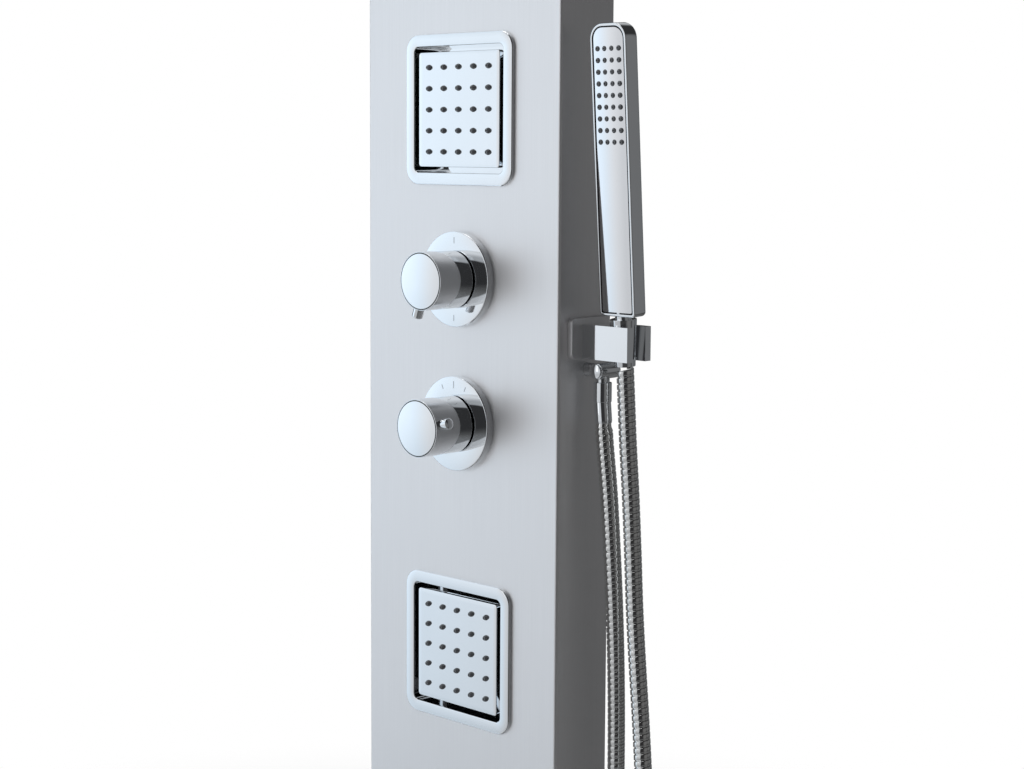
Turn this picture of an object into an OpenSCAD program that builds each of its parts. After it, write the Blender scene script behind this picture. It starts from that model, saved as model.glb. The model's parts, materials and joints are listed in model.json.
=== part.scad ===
// Rainfall shower column: a wall-hung folded steel panel with a rain head, two square body jets,
// a mixer and a diverter knob, and a hand shower on a hose. Millimetres. The wall is the plane Y = 0,
// the front faces -Y, +X is the hand shower's side, +Z is up. Z = 0 is midway between the wall brackets.

/* [Panel] */
// Width of the panel across its folded sides
panel_w = 220; // [216:1:228]
// Depth of the panel from the wall to its front face
panel_d = 60; // [60:1:64]
// Height of the panel
panel_h = 1300; // [1260:10:1400]
// Thickness of the folded sheet
sheet = 1.2; // [1:0.1:1.5]
// Outside radius of the folded front corners
fold_r = 2.4; // [2:0.1:4]
// Width of the lip that the sides turn in at the wall
lip_w = 14; // [10:1:20]

/* [Wall brackets] */
// Distance between the two screws of one wall bracket
screw_gap_x = 120; // [100:5:130]
// Distance between the upper and the lower wall bracket
screw_gap_z = 900; // [880:10:920]
// Radius of the wall screw holes
screw_hole_r = 2.75; // [2.2:0.05:3.2]

/* [Body jets] */
// Height of the upper jet's centre above the origin
upper_jet_z = 170; // [168:1:180]
// Height of the lower jet's centre
lower_jet_z = -275; // [-285:1:-268]
// Outside width of the square bezel
bezel_w = 122; // [120:1:126]
// Outside corner radius of the bezel
bezel_r = 14; // [8:1:18]
// How far the bezel stands in front of the panel
bezel_t = 3; // [2:0.5:5]
// Width of the square opening in the bezel
opening_w = 102; // [100:1:104]
// Corner radius of that opening
opening_r = 5; // [3:0.5:6]
// Width of the square spray plate
plate_w = 92.5; // [90:0.5:94]
// Distance between neighbouring nozzles
jet_pitch = 17; // [14:0.5:18]

/* [Controls] */
// Height of the mixer knob's axis
mixer_z = 33.5; // [30:0.5:36]
// Height of the diverter knob's axis
diverter_z = -84.5; // [-88:0.5:-82]
// Radius of the round flange behind each knob
flange_r = 39; // [36:0.5:41]
// Thickness of that flange
flange_t = 6.5; // [5:0.5:8]
// Radius of the knobs
knob_r = 23.5; // [21:0.5:25]
// How far the mixer knob's cap stands in front of the panel
mixer_reach = 44.5; // [40:0.5:48]
// How far the diverter knob's cap stands in front of the panel
diverter_reach = 48.5; // [40:0.5:50]
// Radius of the grip peg in each knob
peg_r = 4.5; // [3:0.5:5]

/* [Rain head] */
// Height of the arm's axis
arm_z = 560; // [550:5:570]
// Distance from the wall to the rain head's centre
arm_reach = 350; // [320:10:420]
// Width of the square rain head
head_w = 200; // [180:10:220]
// Radius of the ball at the end of the arm
head_ball_r = 13; // [12:0.5:13.5]

/* [Hand shower] */
// Width of the hand shower
hand_w = 36; // [34:1:40]
// Length of the hand shower's body
hand_l = 223.5; // [200:0.5:240]
// Thickness of the hand shower's body
hand_t = 15; // [12:0.5:16]
// Angle by which the hand shower leans away from the wall
hand_lean = 4; // [2:0.1:4.2]
// Radius of the shower hose
hose_r = 7; // [6:0.5:7]

/* [Hidden] */
$fn = 64;

front_y = -panel_d;
side_x = panel_w / 2;
inner_w = panel_w - 2 * sheet;
bracket_w = 160;
fit = 0.1;      // gap between pieces that are fixed to each other
free = 0.3;     // gap between pieces that move past each other
running = 0.05; // radial gap of a turning stem in its bore

// Display tones
steel_tone = [0.80, 0.81, 0.82];
chrome_tone = [0.88, 0.89, 0.90];
zinc_tone = [0.62, 0.63, 0.64];
braid_tone = [0.55, 0.56, 0.58];
brass_tone = [0.76, 0.62, 0.36];
rubber_tone = [0.42, 0.43, 0.45];
seat_tone = [0.93, 0.93, 0.90];

// Body jets, along Y. The ball turns in a thin seat ring, and the seat ring turns in the housing.
jet_ball_y = -36;
jet_ball_r = 11;
seat_t = 1.5;
jet_seat_r = jet_ball_r + free + seat_t;
housing_w = opening_w + 4;
jet_floor_y = -43;
jet_face_y = front_y - 2;
jet_back_y = jet_face_y + 5;
jet_wall = 1.5;
jet_tube_y = -20;
jet_spigot = 28;

// Valve body
valve_y0 = -36;
valve_y1 = -12;
valve_w = 32;
valve_foot_w = 144;
valve_top = 72;
valve_bottom = -120;
valve_mouth_y = -52;
chamber_r = 22;
cartridge_r = 17.5;
stem_r = 5;
stem_back_y = -32.5;
stem_hole_r = 14;
inlet_x = 58;
inlet_y = -24;
inlet_r = 10.478; // outside radius of a G1/2 thread
inlet_l = 14;
tube_r = 6;

// Knobs
knob_back_y = front_y - flange_t - 1.5;
knob_wall = 3;
peg_reach = 9;
peg_behind_cap = 7.5;
mixer_peg_angle = 250;
diverter_peg_angle = 12;

// Rain arm and head
arm_r = 11;
arm_bore = 9;
arm_bend = 30;
arm_end_z = arm_z - arm_bend - 8;
head_z = arm_z - 60;
head_seat_r = head_ball_r + free + 1.7;
head_collar_r = 19.5;
head_back_z = head_z - 32;
head_t = 8;

// Hand shower and its holder
hand_x = 146;
hand_y = -24;
holder_z = -10.5;
holder_h = 27;
holder_x1 = 161;
holder_d = 28;
holder_plate_t = 5;
holder_plate_w = 44;
holder_plate_h = 32;
holder_plate_y = -28;
holder_plate_z = -8;
screw_r = 2;
holder_screw_z = [-8, 8]; // heights of the two screws above the holder's middle
slot_w = 15;
cone_top = 19;
cone_bottom = -18;
cone_r0 = 8.2;
cone_r1 = 10.5;
hand_bottom = 21.5;
hand_face_y = -hand_t / 2;
hand_rows = 9;
hand_columns = 4;
hand_row_gap = 8.8;
hand_column_gap = 7;
hand_first_row = 19; // distance of the first row below the top
outlet_x = 126;
outlet_y = -26;
outlet_z = -33.5;
barrel_r = 6.5;
outlet_tube_r = 5.5;
barrel_y0 = -34;
barrel_y1 = -12;
hose_start_z = -58;

// Route of the shower hose, from the outlet's nut to the hand shower's cone nut
hose_route = [
    [126, -26, -58], [129, -26, -90], [133, -25, -130], [136, -24, -175], [137.5, -22, -220],
    [138, -20, -265], [137.5, -18, -310], [137, -17, -355], [135, -15, -400], [133, -14, -445],
    [132, -13, -490], [131, -13, -535], [129, -13, -580], [127, -13, -625], [126, -13, -665],
    [127, -14, -695], [133, -19, -722], [148, -32, -742], [170, -51, -750], [192, -70, -742],
    [207, -84, -722], [213, -89, -695], [212, -87, -665], [208, -81, -625], [203, -72, -580],
    [198, -61, -535], [193, -51, -490], [187.5, -42, -445], [182, -34, -400], [176, -29, -355],
    [170, -26, -310], [164, -24, -265], [158.5, -22, -220], [155, -21, -175], [152, -21, -130],
    [149.5, -22, -90], [147.5, -22, -60], [146, -22.7, -29],
];
hose_plane = [0.66, 0.75, 0]; // level direction square to the plane that the hose's loop lies in

// Routes of the flexible pipes inside the panel
riser_route = [
    [16, -24, 64], [28, -24, 66], [37, -23, 80], [38, -21, 110], [38, -20, 170], [38, -20, 300],
    [38, -20, 450], [36, -19, 500], [26, -16, 530], [12, -14, 550], [3, -20, 559],
    [0, -30, 560], [0, -40, 560],
];
handset_feed_route = [
    [16, -24, -34], [34, -24, -36], [56, -25, -38], [78, -26, -36], [96, -26, -34],
];

// ---- shapes that repeat ----

// Extrudes a flat XZ shape from y0 to y1
module along_y(y0, y1) {
    translate([0, y1, 0]) rotate([90, 0, 0]) linear_extrude(y1 - y0) children();
}

// Extrudes a flat YZ shape from x0 to x1
module along_x(x0, x1) {
    translate([x0, 0, 0]) rotate([90, 0, 90]) linear_extrude(x1 - x0) children();
}

module disc_y(r, y0, y1, x = 0, z = 0) {
    along_y(y0, y1) translate([x, z]) circle(r);
}

module ring_y(r, bore, y0, y1, x = 0, z = 0) {
    along_y(y0, y1) translate([x, z]) difference() {
        circle(r);
        circle(bore);
    }
}

module disc_x(r, x0, x1, y, z) {
    along_x(x0, x1) translate([y, z]) circle(r);
}

module disc_z(r, z0, z1, x, y) {
    translate([x, y, z0]) cylinder(h = z1 - z0, r = r);
}

// A rectangle about its centre with round corners
module rounded(w, h, r) {
    square([w - 2 * r, h], center = true);
    square([w, h - 2 * r], center = true);
    for (sx = [-1, 1], sy = [-1, 1]) translate([sx * (w / 2 - r), sy * (h / 2 - r)]) circle(r);
}

// The panel's level section: flat at the back, with round front corners
module front_rounded(w, y0, y1, r) {
    translate([-w / 2 + r, y0]) square([w - 2 * r, y1 - y0]);
    translate([-w / 2, y0 + r]) square([w, y1 - y0 - r]);
    for (sx = [-1, 1]) translate([sx * (w / 2 - r), y0 + r]) circle(r);
}

// Swept tube. ref is a direction that the route never runs along.
function unit(v) = v / norm(v);
function heading(p, i) = unit(p[min(i + 1, len(p) - 1)] - p[max(i - 1, 0)]);
function ring_at(c, t, r, sides, ref) =
    let (u = unit(cross(t, ref)), v = cross(t, u))
    [for (j = [0 : sides - 1]) c + r * (cos(360 * j / sides) * u + sin(360 * j / sides) * v)];

module swept_tube(p, r, ref, first, last, sides = 10) {
    n = len(p);
    points = [for (i = [0 : n - 1])
        let (t = i == 0 ? first : i == n - 1 ? last : heading(p, i))
        each ring_at(p[i], t, r, sides, ref)];
    walls = [for (i = [0 : n - 2], j = [0 : sides - 1])
        let (a = i * sides + j, b = i * sides + (j + 1) % sides)
        [a, a + sides, b + sides, b]];
    ends = [[for (j = [0 : sides - 1]) j], [for (j = [sides - 1 : -1 : 0]) (n - 1) * sides + j]];
    polyhedron(points, concat(walls, ends), convexity = 6);
}

// ---- panel and its fixings ----

module jet_cutout(z) {
    w = housing_w + 1;
    along_y(front_y - 1, front_y + 5) translate([0, z]) rounded(w, w, opening_r + 2);
}

module panel_shell() {
    color(steel_tone) difference() {
        translate([0, 0, -panel_h / 2 + sheet]) linear_extrude(panel_h - 2 * sheet) difference() {
            front_rounded(panel_w, front_y, 0, fold_r);
            front_rounded(inner_w, front_y + sheet, -sheet, fold_r - sheet);
            translate([-side_x + lip_w, -2 * sheet]) square([panel_w - 2 * lip_w, 3 * sheet]);
        }
        jet_cutout(upper_jet_z);
        jet_cutout(lower_jet_z);
        for (z = [mixer_z, diverter_z]) disc_y(stem_hole_r, front_y - 1, front_y + 5, 0, z);
        disc_y(arm_r + fit, front_y - 1, front_y + 5, 0, arm_z);
        disc_x(outlet_tube_r + fit, side_x - 5, side_x + 1, outlet_y, outlet_z);
        for (dz = holder_screw_z) disc_x(screw_r + fit, side_x - 5, side_x + 1, hand_y, holder_z + dz);
    }
}

// One end of the panel. up is 1 for the top and -1 for the bottom.
module end_cap(up) {
    skirt = sheet + fit;
    color(steel_tone) mirror([0, 0, up > 0 ? 0 : 1]) translate([0, 0, panel_h / 2 - sheet]) {
        linear_extrude(sheet) front_rounded(panel_w, front_y, 0, fold_r);
        translate([0, 0, -12]) linear_extrude(12) difference() {
            front_rounded(panel_w - 2 * skirt, front_y + skirt, -skirt, fold_r - sheet);
            front_rounded(panel_w - 2 * skirt - 2 * sheet, front_y + skirt + sheet, -skirt - sheet, 1);
        }
    }
}

module top_cap() { end_cap(1); }
module bottom_cap() { end_cap(-1); }

// A steel strip on the wall with a hooked top edge
module wall_bracket(z) {
    color(zinc_tone) translate([0, 0, z]) difference() {
        union() {
            translate([-bracket_w / 2, -2, -18]) cube([bracket_w, 2, 36]);
            translate([-bracket_w / 2, -9, 18]) cube([bracket_w, 9, 2]);
            translate([-bracket_w / 2, -9, 20]) cube([bracket_w, 2, 14]);
        }
        for (sx = [-1, 1]) disc_y(screw_hole_r, -3, 1, sx * screw_gap_x / 2, 0);
    }
}

module upper_wall_bracket() { wall_bracket(screw_gap_z / 2); }
module lower_wall_bracket() { wall_bracket(-screw_gap_z / 2); }

// The rail inside the panel that drops over a wall bracket's hook
module hanger_rail(z) {
    color(zinc_tone) translate([-inner_w / 2, 0, z]) {
        translate([0, -12, 12]) cube([inner_w, 1.5, 23.5]);
        translate([0, -10.5, 34]) cube([inner_w, 6.5, 1.5]);
        translate([0, -5.5, 24]) cube([inner_w, 1.5, 10]);
    }
}

module upper_hanger_rail() { hanger_rail(screw_gap_z / 2); }
module lower_hanger_rail() { hanger_rail(-screw_gap_z / 2); }

// ---- body jets ----

module jet_bezel(z) {
    color(chrome_tone) along_y(front_y - bezel_t, front_y) translate([0, z]) difference() {
        rounded(bezel_w, bezel_w, bezel_r);
        rounded(opening_w, opening_w, opening_r);
    }
}

// A cup with a ball socket in its floor. spigot is 1 where the water comes from above, -1 from below.
module jet_housing(z, spigot) {
    boss_y1 = -8;
    color(chrome_tone) translate([0, 0, z]) difference() {
        union() {
            along_y(front_y, jet_floor_y + 3) rounded(housing_w, housing_w, opening_r + 2);
            disc_y(jet_seat_r + free + 6, jet_floor_y + 2, boss_y1);
            mirror([0, 0, spigot > 0 ? 0 : 1]) disc_z(tube_r + 2, 0, jet_spigot, 0, jet_tube_y);
        }
        along_y(front_y - 1, jet_floor_y) rounded(opening_w, opening_w, opening_r);
        translate([0, jet_ball_y, 0]) sphere(jet_seat_r + free);
        disc_y(4, jet_ball_y, jet_tube_y);
        mirror([0, 0, spigot > 0 ? 0 : 1]) disc_z(4, 0, jet_spigot + 1, 0, jet_tube_y);
    }
}

// Places a shape, built along +Z about the ball's centre, so that it faces the room
module on_jet_ball(z) {
    translate([0, jet_ball_y, z]) rotate([90, 0, 0]) children();
}

module jet_seat(z) {
    color(seat_tone) on_jet_ball(z) intersection() {
        difference() {
            sphere(jet_seat_r);
            sphere(jet_ball_r + free);
        }
        translate([-20, -20, -8]) cube([40, 40, 14]);
    }
}

module jet_ball(z) {
    neck = jet_ball_y - jet_back_y;
    color([0.78, 0.65, 0.38]) on_jet_ball(z) difference() {
        union() {
            sphere(jet_ball_r);
            cylinder(h = neck - 1, r = 6);
            translate([0, 0, neck - 2]) cylinder(h = 2, r = 12);
        }
        translate([-15, -15, -12]) cube([30, 30, 4]);
        translate([0, 0, -9]) cylinder(h = neck + 10, r = 4);
    }
}

module jet_back(z) {
    w = plate_w - 2 * jet_wall - 2 * fit;
    color([0.20, 0.20, 0.21]) along_y(jet_back_y - jet_wall, jet_back_y) translate([0, z]) difference() {
        rounded(w, w, 1);
        circle(4);
    }
}

module jet_grid() {
    for (i = [-2 : 2], j = [-2 : 2]) translate([i * jet_pitch, 0, j * jet_pitch]) children();
}

module jet_face(z) {
    w = plate_w - 2 * jet_wall;
    color(chrome_tone) translate([0, 0, z]) difference() {
        along_y(jet_face_y, jet_back_y) rounded(plate_w, plate_w, 2.5);
        along_y(jet_face_y + jet_wall, jet_back_y + 1) rounded(w, w, 1);
        jet_grid() disc_y(2.3, jet_face_y - 1, jet_face_y + jet_wall + 1);
    }
}

module jet_nozzles(z) {
    color(rubber_tone) translate([0, 0, z]) jet_grid() {
        disc_y(2.2, jet_face_y - 0.6, jet_face_y + jet_wall);
        translate([0, jet_face_y - 0.6, 0]) rotate([90, 0, 0]) cylinder(h = 1.2, r1 = 2.2, r2 = 1.5);
    }
}

module upper_jet_bezel() { jet_bezel(upper_jet_z); }
module upper_jet_housing() { jet_housing(upper_jet_z, -1); }
module upper_jet_seat() { jet_seat(upper_jet_z); }
module upper_jet_ball() { jet_ball(upper_jet_z); }
module upper_jet_back() { jet_back(upper_jet_z); }
module upper_jet_face() { jet_face(upper_jet_z); }
module upper_jet_nozzles() { jet_nozzles(upper_jet_z); }
module lower_jet_bezel() { jet_bezel(lower_jet_z); }
module lower_jet_housing() { jet_housing(lower_jet_z, 1); }
module lower_jet_seat() { jet_seat(lower_jet_z); }
module lower_jet_ball() { jet_ball(lower_jet_z); }
module lower_jet_back() { jet_back(lower_jet_z); }
module lower_jet_face() { jet_face(lower_jet_z); }
module lower_jet_nozzles() { jet_nozzles(lower_jet_z); }

// ---- valve, cartridges and knobs ----

module valve_body() {
    depth = valve_y1 - valve_y0;
    height = valve_top - valve_bottom;
    color([0.72, 0.58, 0.33]) difference() {
        union() {
            translate([-valve_w / 2, valve_y0, valve_bottom]) cube([valve_w, depth, height]);
            translate([-valve_foot_w / 2, valve_y0, valve_bottom]) cube([valve_foot_w, depth, 22]);
            for (z = [mixer_z, diverter_z]) disc_y(chamber_r, valve_mouth_y, valve_y1, 0, z);
        }
        for (z = [mixer_z, diverter_z]) disc_y(cartridge_r + fit, valve_mouth_y - 1, -18, 0, z);
        for (sx = [-1, 1]) disc_z(6, valve_bottom - 1, valve_bottom + 11, sx * inlet_x, inlet_y);
    }
}

// A hexagon on the valve body and a G1/2 thread, drawn as a plain cylinder, pointing down
module inlet(x) {
    color(brass_tone) difference() {
        union() {
            translate([x, inlet_y, valve_bottom - 8]) cylinder(h = 8, r = 13, $fn = 6);
            disc_z(inlet_r, valve_bottom - 8 - inlet_l, valve_bottom - 8, x, inlet_y);
        }
        disc_z(6, valve_bottom - 9 - inlet_l, valve_bottom + 1, x, inlet_y);
    }
}

module hot_inlet() { inlet(-inlet_x); }
module cold_inlet() { inlet(inlet_x); }

module cartridge(z) {
    color([0.90, 0.90, 0.88]) difference() {
        union() {
            disc_y(cartridge_r, valve_mouth_y, -18 - fit, 0, z);
            disc_y(12, valve_mouth_y - 5, valve_mouth_y, 0, z);
        }
        disc_y(stem_r + running, valve_mouth_y - 6, stem_back_y + free, 0, z);
    }
}

module bonnet_nut(z) {
    color(brass_tone) difference() {
        translate([0, valve_mouth_y, z]) rotate([90, 0, 0]) cylinder(h = 5, r = 21, $fn = 6);
        disc_y(12 + fit, valve_mouth_y - 6, valve_mouth_y + 1, 0, z);
    }
}

module stem(z, reach) {
    color(brass_tone) disc_y(stem_r, front_y - reach + 5, stem_back_y, 0, z);
}

module flange(z) {
    color(chrome_tone) difference() {
        disc_y(flange_r, front_y - flange_t, front_y, 0, z);
        disc_y(flange_r - 3, front_y - flange_t + 2, front_y + 1, 0, z);
        disc_y(13, front_y - flange_t - 1, front_y + 1, 0, z);
    }
}

// A cup with a hub on the stem and a hole for the peg
module knob(z, reach, peg_angle) {
    cap_y = front_y - reach;
    color(chrome_tone) translate([0, 0, z]) difference() {
        union() {
            ring_y(knob_r, knob_r - knob_wall, cap_y, knob_back_y);
            disc_y(knob_r - 1, cap_y, cap_y + 4);
            disc_y(9, cap_y + 3, knob_back_y - 2);
        }
        disc_y(stem_r + running, cap_y + 5, knob_back_y + 1);
        translate([0, cap_y + peg_behind_cap, 0]) rotate([0, -peg_angle, 0])
            disc_x(peg_r + running, knob_r - knob_wall - 1, knob_r + 1, 0, 0);
    }
}

module peg(z, reach, peg_angle) {
    color(chrome_tone) translate([0, front_y - reach + peg_behind_cap, z])
        rotate([0, -peg_angle, 0]) disc_x(peg_r, knob_r - knob_wall, knob_r + peg_reach, 0, 0);
}

module mixer_cartridge() { cartridge(mixer_z); }
module mixer_bonnet_nut() { bonnet_nut(mixer_z); }
module mixer_stem() { stem(mixer_z, mixer_reach); }
module mixer_flange() { flange(mixer_z); }
module mixer_knob() { knob(mixer_z, mixer_reach, mixer_peg_angle); }
module mixer_peg() { peg(mixer_z, mixer_reach, mixer_peg_angle); }
module diverter_cartridge() { cartridge(diverter_z); }
module diverter_bonnet_nut() { bonnet_nut(diverter_z); }
module diverter_stem() { stem(diverter_z, diverter_reach); }
module diverter_flange() { flange(diverter_z); }
module diverter_knob() { knob(diverter_z, diverter_reach, diverter_peg_angle); }
module diverter_peg() { peg(diverter_z, diverter_reach, diverter_peg_angle); }

// ---- water ways inside the panel ----

module upper_jet_feed() {
    color(braid_tone) disc_z(tube_r, valve_top, upper_jet_z - jet_spigot, 0, jet_tube_y);
}

module lower_jet_feed() {
    color(braid_tone) disc_z(tube_r, lower_jet_z + jet_spigot, valve_bottom, 0, jet_tube_y);
}

module rain_riser() {
    color(braid_tone) swept_tube(riser_route, tube_r, [1, 1, 0.6], [1, 0, 0], [0, -1, 0]);
}

module handset_feed() {
    color(braid_tone) swept_tube(handset_feed_route, tube_r, [0, 1, 0], [1, 0, 0], [1, 0, 0]);
}

// ---- rain arm and head ----

module arm_flange() {
    color(chrome_tone) ring_y(27.5, arm_r + fit, front_y - 8, front_y, 0, arm_z);
}

module arm_lock_nut() {
    color(brass_tone) difference() {
        translate([0, front_y + sheet + 9, arm_z]) rotate([90, 0, 0]) cylinder(h = 9, r = 18, $fn = 6);
        disc_y(arm_r + fit, front_y, front_y + sheet + 10, 0, arm_z);
    }
}

// A level tube that bends down at its outer end
module rain_arm() {
    bend_y = -arm_reach + arm_bend;
    color(chrome_tone) {
        ring_y(arm_r, arm_bore, bend_y, -40, 0, arm_z);
        translate([0, bend_y, arm_z - arm_bend]) rotate([90, 0, -90]) rotate_extrude(angle = 90)
            translate([arm_bend, 0]) difference() {
                circle(arm_r);
                circle(arm_bore);
            }
        translate([0, -arm_reach, arm_end_z]) linear_extrude(arm_z - arm_bend - arm_end_z) difference() {
            circle(arm_r);
            circle(arm_bore);
        }
    }
}

module arm_ball() {
    color(chrome_tone) translate([0, -arm_reach, 0]) difference() {
        union() {
            disc_z(arm_bore - fit, arm_end_z, arm_end_z + 7, 0, 0);
            disc_z(arm_r, arm_end_z - 7, arm_end_z, 0, 0);
            disc_z(6.5, head_z, arm_end_z - 6, 0, 0);
            translate([0, 0, head_z]) sphere(head_ball_r);
        }
        disc_z(4, head_z - 15, arm_end_z + 8, 0, 0);
    }
}

module arm_seat() {
    color(seat_tone) translate([0, -arm_reach, head_z]) intersection() {
        difference() {
            sphere(head_seat_r);
            sphere(head_ball_r + free);
        }
        cube([40, 40, 14], center = true);
    }
}

module arm_collar() {
    color(chrome_tone) translate([0, -arm_reach, head_z]) difference() {
        translate([0, 0, -8]) cylinder(h = 17, r = head_collar_r);
        sphere(head_seat_r + free);
    }
}

// A shallow tray with the socket's lower half on its back
module rain_head_back() {
    inner = head_w - 6;
    color(chrome_tone) translate([0, -arm_reach, 0]) difference() {
        union() {
            translate([0, 0, head_back_z]) linear_extrude(head_t) rounded(head_w, head_w, 14);
            disc_z(17, head_back_z + head_t - 1, head_z - 8, 0, 0);
        }
        translate([0, 0, head_back_z - 1]) linear_extrude(head_t - 1) rounded(inner, inner, 11);
        translate([0, 0, head_z]) sphere(head_seat_r + free);
        disc_z(4, head_back_z, head_z, 0, 0);
    }
}

module head_grid() {
    pitch = head_w / 10;
    for (i = [-4 : 4], j = [-4 : 4])
        translate([i * pitch, -arm_reach + j * pitch, head_back_z]) children();
}

module rain_head_face() {
    w = head_w - 6 - 2 * fit;
    color(chrome_tone) difference() {
        translate([0, -arm_reach, head_back_z]) linear_extrude(2.5) rounded(w, w, 11 - fit);
        head_grid() translate([0, 0, -1]) cylinder(h = 5, r = 2);
    }
}

module rain_head_nozzles() {
    color(rubber_tone) head_grid() {
        translate([0, 0, -0.6]) cylinder(h = 3.1, r = 1.9);
        translate([0, 0, -2]) cylinder(h = 1.4, r1 = 1.3, r2 = 1.9);
    }
}

// ---- hand shower, holder and hose ----

// Places a shape on the leaning axis of the hand shower, whose zero is the middle of the holder
module on_hand_axis() {
    translate([hand_x, hand_y, holder_z]) rotate([hand_lean, 0, 0]) children();
}

module holder_plate() {
    x1 = side_x + holder_plate_t;
    color(chrome_tone) difference() {
        along_x(side_x, x1) translate([holder_plate_y, holder_plate_z]) rounded(holder_plate_w, holder_plate_h, 4);
        for (dz = holder_screw_z) disc_x(screw_r + fit, side_x - 1, x1 + 1, hand_y, holder_z + dz);
    }
}

// A block with a conical seat that is open to the side, so that the hose can be lifted out
module holder_block() {
    x0 = side_x + holder_plate_t;
    half = holder_h / 2;
    taper = (cone_r1 - cone_r0) / (cone_top - cone_bottom);
    reach = half + 1;
    seat_mid = cone_r0 - cone_bottom * taper + free + 0.1;
    color(chrome_tone) difference() {
        translate([x0, hand_y - holder_d / 2, holder_z - half]) cube([holder_x1 - x0, holder_d, holder_h]);
        on_hand_axis() translate([0, 0, -reach])
            cylinder(h = 2 * reach, r1 = seat_mid - reach * taper, r2 = seat_mid + reach * taper);
        translate([hand_x, hand_y - slot_w / 2, holder_z - reach]) cube([30, slot_w, 2 * reach]);
        for (dz = holder_screw_z) disc_x(screw_r + running, x0 - 1, x0 + 6, hand_y, holder_z + dz);
    }
}

module holder_screws() {
    head_x = side_x - sheet;
    color(zinc_tone) for (dz = holder_screw_z) {
        disc_x(screw_r, head_x - 1, side_x + holder_plate_t + 6, hand_y, holder_z + dz);
        disc_x(3.6, head_x - 2.6, head_x, hand_y, holder_z + dz);
    }
}

// A tube through the panel's side, an upright barrel across it and a neck for the hose nut
module outlet_body() {
    color(chrome_tone) difference() {
        union() {
            disc_x(outlet_tube_r, 96, outlet_x, outlet_y, outlet_z);
            disc_y(barrel_r, barrel_y0, barrel_y1, outlet_x, outlet_z);
            disc_z(5.5, outlet_z - 9, outlet_z, outlet_x, outlet_y);
        }
        disc_x(3.5, 95, outlet_x, outlet_y, outlet_z);
        disc_z(3.5, outlet_z - 10, outlet_z, outlet_x, outlet_y);
    }
}

module outlet_cap() {
    color(chrome_tone) disc_y(barrel_r - 0.6, barrel_y0 - 2, barrel_y0, outlet_x, outlet_z);
}

module hose_nut() {
    color(chrome_tone) difference() {
        disc_z(hose_r + 0.2, hose_start_z, outlet_z - 9, outlet_x, outlet_y);
        disc_z(3.5, hose_start_z - 1, outlet_z - 8, outlet_x, outlet_y);
    }
}

module shower_hose() {
    color([0.66, 0.67, 0.68])
        swept_tube(hose_route, hose_r, hose_plane, [0, 0, -1], [0, -sin(hand_lean), cos(hand_lean)], 12);
}

module hose_cone_nut() {
    color(chrome_tone) on_hand_axis() difference() {
        translate([0, 0, cone_bottom]) cylinder(h = cone_top - cone_bottom, r1 = cone_r0, r2 = cone_r1);
        translate([0, 0, cone_bottom - 1]) cylinder(h = cone_top - cone_bottom + 2, r = 4);
    }
}

// The hand shower's front outline, inset by a margin. Its lower end is at 0.
module hand_outline(inset) {
    w = hand_w - 2 * inset;
    top_r = 12 - inset;
    low_r = 3.5 - 0.5 * inset;
    translate([-w / 2, inset + low_r]) square([w, hand_l - 2 * inset - low_r - top_r]);
    translate([-w / 2 + top_r, inset + low_r]) square([w - 2 * top_r, hand_l - 2 * inset - low_r]);
    translate([-w / 2 + low_r, inset]) square([w - 2 * low_r, hand_l / 2]);
    for (sx = [-1, 1]) {
        translate([sx * (w / 2 - top_r), hand_l - inset - top_r]) circle(top_r);
        translate([sx * (w / 2 - low_r), inset + low_r]) circle(low_r);
    }
}

module hand_grid() {
    x0 = -(hand_columns - 1) / 2 * hand_column_gap;
    z0 = hand_l - hand_first_row;
    for (i = [0 : hand_columns - 1], j = [0 : hand_rows - 1])
        translate([x0 + i * hand_column_gap, 0, z0 - j * hand_row_gap]) children();
}

module handset_body() {
    color(chrome_tone) on_hand_axis() translate([0, 0, hand_bottom]) difference() {
        union() {
            along_y(-hand_t / 2, hand_t / 2) hand_outline(0);
            translate([0, 0, cone_top - hand_bottom]) cylinder(h = hand_bottom - cone_top + 4, r = 6.5);
        }
        along_y(hand_face_y - 1, hand_face_y + 2) hand_outline(2.2);
        along_y(hand_face_y + 1, hand_face_y + 6) translate([0, hand_l - 54]) rounded(26, 86, 4);
        translate([0, 0, cone_top - hand_bottom - 1]) cylinder(h = hand_l - 90, r = 3.4);
    }
}

module handset_face() {
    color([0.93, 0.93, 0.94]) on_hand_axis() translate([0, 0, hand_bottom]) difference() {
        along_y(hand_face_y - 0.2, hand_face_y + 2) hand_outline(3.4);
        hand_grid() disc_y(2.1, hand_face_y - 1, hand_face_y + 3);
    }
}

module handset_nozzles() {
    color([0.36, 0.37, 0.39]) on_hand_axis() translate([0, 0, hand_bottom]) hand_grid() {
        disc_y(2, hand_face_y - 0.7, hand_face_y + 2);
        translate([0, hand_face_y - 0.7, 0]) rotate([90, 0, 0]) cylinder(h = 0.6, r1 = 2, r2 = 1.4);
    }
}

panel_shell();
top_cap();
bottom_cap();
upper_wall_bracket();
lower_wall_bracket();
upper_hanger_rail();
lower_hanger_rail();
upper_jet_bezel();
upper_jet_housing();
upper_jet_seat();
upper_jet_ball();
upper_jet_back();
upper_jet_face();
upper_jet_nozzles();
lower_jet_bezel();
lower_jet_housing();
lower_jet_seat();
lower_jet_ball();
lower_jet_back();
lower_jet_face();
lower_jet_nozzles();
valve_body();
hot_inlet();
cold_inlet();
mixer_cartridge();
mixer_bonnet_nut();
mixer_stem();
mixer_flange();
mixer_knob();
mixer_peg();
diverter_cartridge();
diverter_bonnet_nut();
diverter_stem();
diverter_flange();
diverter_knob();
diverter_peg();
upper_jet_feed();
lower_jet_feed();
rain_riser();
handset_feed();
arm_flange();
arm_lock_nut();
rain_arm();
arm_ball();
arm_seat();
arm_collar();
rain_head_back();
rain_head_face();
rain_head_nozzles();
holder_plate();
holder_block();
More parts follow.
